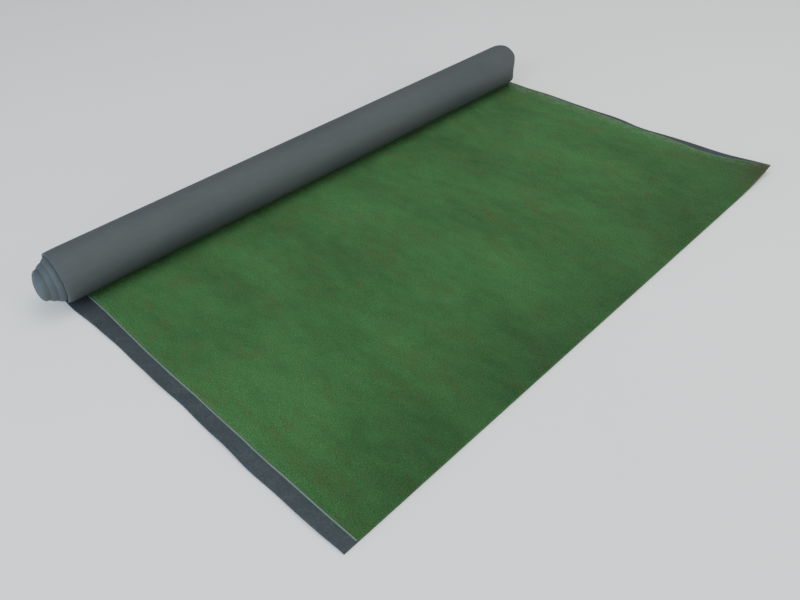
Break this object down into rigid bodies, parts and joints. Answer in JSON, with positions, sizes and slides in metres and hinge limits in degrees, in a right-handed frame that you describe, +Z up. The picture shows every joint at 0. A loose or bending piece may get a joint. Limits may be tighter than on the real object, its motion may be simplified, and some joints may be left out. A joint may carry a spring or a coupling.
{
  "type": "practice putting mat",
  "caption": "Wide rectangular turf mat for putting practice, its far end wound into a roll with the backing outside, that unrolls flat.",
  "frame": {"origin": "middle of the part of the mat that lies flat, on its underside", "axes": "+X across the mat, +Y from the near edge towards the roll, +Z up"},
  "size_m": [1.2523, 0.7906, 0.105],
  "materials": {
    "backing_foam": "matte dark grey foam",
    "scrim_cloth": "pale woven cloth",
    "turf_pile": "short dense green nap"
  },
  "bodies": {
    "mat": {"backing_sheet": "backing_foam", "scrim_sheet": "scrim_cloth", "pile_sheet": "turf_pile"},
    "wrap_01": {"backing_wrap_01": "backing_foam", "scrim_wrap_01": "scrim_cloth", "pile_wrap_01": "turf_pile"},
    "wrap_02": {"backing_wrap_02": "backing_foam", "scrim_wrap_02": "scrim_cloth", "pile_wrap_02": "turf_pile"},
    "wrap_03": {"backing_wrap_03": "backing_foam", "scrim_wrap_03": "scrim_cloth", "pile_wrap_03": "turf_pile"},
    "wrap_04": {"backing_wrap_04": "backing_foam", "scrim_wrap_04": "scrim_cloth", "pile_wrap_04": "turf_pile"},
    "wrap_05": {"backing_wrap_05": "backing_foam", "scrim_wrap_05": "scrim_cloth", "pile_wrap_05": "turf_pile"},
    "wrap_06": {"backing_wrap_06": "backing_foam", "scrim_wrap_06": "scrim_cloth", "pile_wrap_06": "turf_pile"},
    "wrap_07": {"backing_wrap_07": "backing_foam", "scrim_wrap_07": "scrim_cloth", "pile_wrap_07": "turf_pile"},
    "wrap_08": {"backing_wrap_08": "backing_foam", "scrim_wrap_08": "scrim_cloth", "pile_wrap_08": "turf_pile"},
    "wrap_09": {"backing_wrap_09": "backing_foam", "scrim_wrap_09": "scrim_cloth", "pile_wrap_09": "turf_pile"},
    "wrap_10": {"backing_wrap_10": "backing_foam", "scrim_wrap_10": "scrim_cloth", "pile_wrap_10": "turf_pile"},
    "wrap_11": {"backing_wrap_11": "backing_foam", "scrim_wrap_11": "scrim_cloth", "pile_wrap_11": "turf_pile"},
    "wrap_12": {"backing_wrap_12": "backing_foam", "scrim_wrap_12": "scrim_cloth", "pile_wrap_12": "turf_pile"},
    "wrap_13": {"backing_wrap_13": "backing_foam", "scrim_wrap_13": "scrim_cloth", "pile_wrap_13": "turf_pile"},
    "wrap_14": {"backing_wrap_14": "backing_foam", "scrim_wrap_14": "scrim_cloth", "pile_wrap_14": "turf_pile"},
    "wrap_15": {"backing_wrap_15": "backing_foam", "scrim_wrap_15": "scrim_cloth", "pile_wrap_15": "turf_pile"},
    "wrap_16": {"backing_wrap_16": "backing_foam", "scrim_wrap_16": "scrim_cloth", "pile_wrap_16": "turf_pile"},
    "wrap_17": {"backing_wrap_17": "backing_foam", "scrim_wrap_17": "scrim_cloth", "pile_wrap_17": "turf_pile"},
    "wrap_18": {"backing_wrap_18": "backing_foam", "scrim_wrap_18": "scrim_cloth", "pile_wrap_18": "turf_pile"}
  },
  "joints": [
    {"name": "unroll", "type": "hinge", "parent": "mat", "child": "wrap_01", "pos_m": [0.00094, 0.39152, 0.01053], "axis": [-0.9996, 0.0297, 0], "range_deg": [0, 73.85]},
    {"name": "unroll_02", "type": "hinge", "parent": "wrap_01", "child": "wrap_02", "pos_m": [0.00146, 0.40905, 0.0711], "axis": [-0.9996, 0.0297, 0], "range_deg": [0, 73.72]},
    {"name": "unroll_03", "type": "hinge", "parent": "wrap_02", "child": "wrap_03", "pos_m": [-0.00012, 0.35602, 0.10481], "axis": [-0.9996, 0.0297, 0], "range_deg": [0, 75.14]},
    {"name": "unroll_04", "type": "hinge", "parent": "wrap_03", "child": "wrap_04", "pos_m": [-0.00145, 0.31122, 0.06344], "axis": [-0.9996, 0.0297, 0], "range_deg": [0, 76.18]},
    {"name": "unroll_05", "type": "hinge", "parent": "wrap_04", "child": "wrap_05", "pos_m": [-0.00057, 0.34067, 0.01004], "axis": [-0.9996, 0.0297, 0], "range_deg": [0, 75.64]},
    {"name": "unroll_06", "type": "hinge", "parent": "wrap_05", "child": "wrap_06", "pos_m": [0.0011, 0.3971, 0.02467], "axis": [-0.9996, 0.0297, 0], "range_deg": [0, 77.99]},
    {"name": "unroll_07", "type": "hinge", "parent": "wrap_06", "child": "wrap_07", "pos_m": [0.00102, 0.39451, 0.08346], "axis": [-0.9996, 0.0297, 0], "range_deg": [0, 78.09]},
    {"name": "unroll_08", "type": "hinge", "parent": "wrap_07", "child": "wrap_08", "pos_m": [-0.00066, 0.33793, 0.09282], "axis": [-0.9996, 0.0297, 0], "range_deg": [0, 80.82]},
    {"name": "unroll_09", "type": "hinge", "parent": "wrap_08", "child": "wrap_09", "pos_m": [-0.00119, 0.3199, 0.03915], "axis": [-0.9996, 0.0297, 0], "range_deg": [0, 81.17]},
    {"name": "unroll_10", "type": "hinge", "parent": "wrap_09", "child": "wrap_10", "pos_m": [0.00029, 0.36961, 0.01336], "axis": [-0.9996, 0.0297, 0], "range_deg": [0, 83.59]},
    {"name": "unroll_11", "type": "hinge", "parent": "wrap_10", "child": "wrap_11", "pos_m": [0.00118, 0.39982, 0.05848], "axis": [-0.9996, 0.0297, 0], "range_deg": [0, 84.64]},
    {"name": "unroll_12", "type": "hinge", "parent": "wrap_11", "child": "wrap_12", "pos_m": [-0.00006, 0.35784, 0.09271], "axis": [-0.9996, 0.0297, 0], "range_deg": [0, 86.67]},
    {"name": "unroll_13", "type": "hinge", "parent": "wrap_12", "child": "wrap_13", "pos_m": [-0.0011, 0.3228, 0.05445], "axis": [-0.9996, 0.0297, 0], "range_deg": [0, 88.34]},
    {"name": "unroll_14", "type": "hinge", "parent": "wrap_13", "child": "wrap_14", "pos_m": [0, 0.36, 0.0183], "axis": [-0.9996, 0.0297, 0], "range_deg": [0, 88.34]},
    {"name": "unroll_15", "type": "hinge", "parent": "wrap_14", "child": "wrap_15", "pos_m": [0.00101, 0.39416, 0.05149], "axis": [-0.9996, 0.0297, 0], "range_deg": [0, 90.34]},
    {"name": "unroll_16", "type": "hinge", "parent": "wrap_15", "child": "wrap_16", "pos_m": [-0.00001, 0.35959, 0.08667], "axis": [-0.9996, 0.0297, 0], "range_deg": [0, 94.79]},
    {"name": "unroll_17", "type": "hinge", "parent": "wrap_16", "child": "wrap_17", "pos_m": [-0.00092, 0.32917, 0.05128], "axis": [-0.9996, 0.0297, 0], "range_deg": [0, 96.46]},
    {"name": "unroll_18", "type": "hinge", "parent": "wrap_17", "child": "wrap_18", "pos_m": [0.00022, 0.36725, 0.02535], "axis": [-0.9996, 0.0297, 0], "range_deg": [0, 100.51]}
  ],
  "couplings": [
    {"joint": "unroll_02", "follows": "unroll", "ratio": 0.99828},
    {"joint": "unroll_03", "follows": "unroll", "ratio": 1.0175},
    {"joint": "unroll_04", "follows": "unroll", "ratio": 1.0315},
    {"joint": "unroll_05", "follows": "unroll", "ratio": 1.0243},
    {"joint": "unroll_06", "follows": "unroll", "ratio": 1.0561},
    {"joint": "unroll_07", "follows": "unroll", "ratio": 1.0574},
    {"joint": "unroll_08", "follows": "unroll", "ratio": 1.0944},
    {"joint": "unroll_09", "follows": "unroll", "ratio": 1.0991},
    {"joint": "unroll_10", "follows": "unroll", "ratio": 1.1319},
    {"joint": "unroll_11", "follows": "unroll", "ratio": 1.1461},
    {"joint": "unroll_12", "follows": "unroll", "ratio": 1.1736},
    {"joint": "unroll_13", "follows": "unroll", "ratio": 1.1962},
    {"joint": "unroll_14", "follows": "unroll", "ratio": 1.1962},
    {"joint": "unroll_15", "follows": "unroll", "ratio": 1.2233},
    {"joint": "unroll_16", "follows": "unroll", "ratio": 1.2836},
    {"joint": "unroll_17", "follows": "unroll", "ratio": 1.3062},
    {"joint": "unroll_18", "follows": "unroll", "ratio": 1.361}
  ]
}
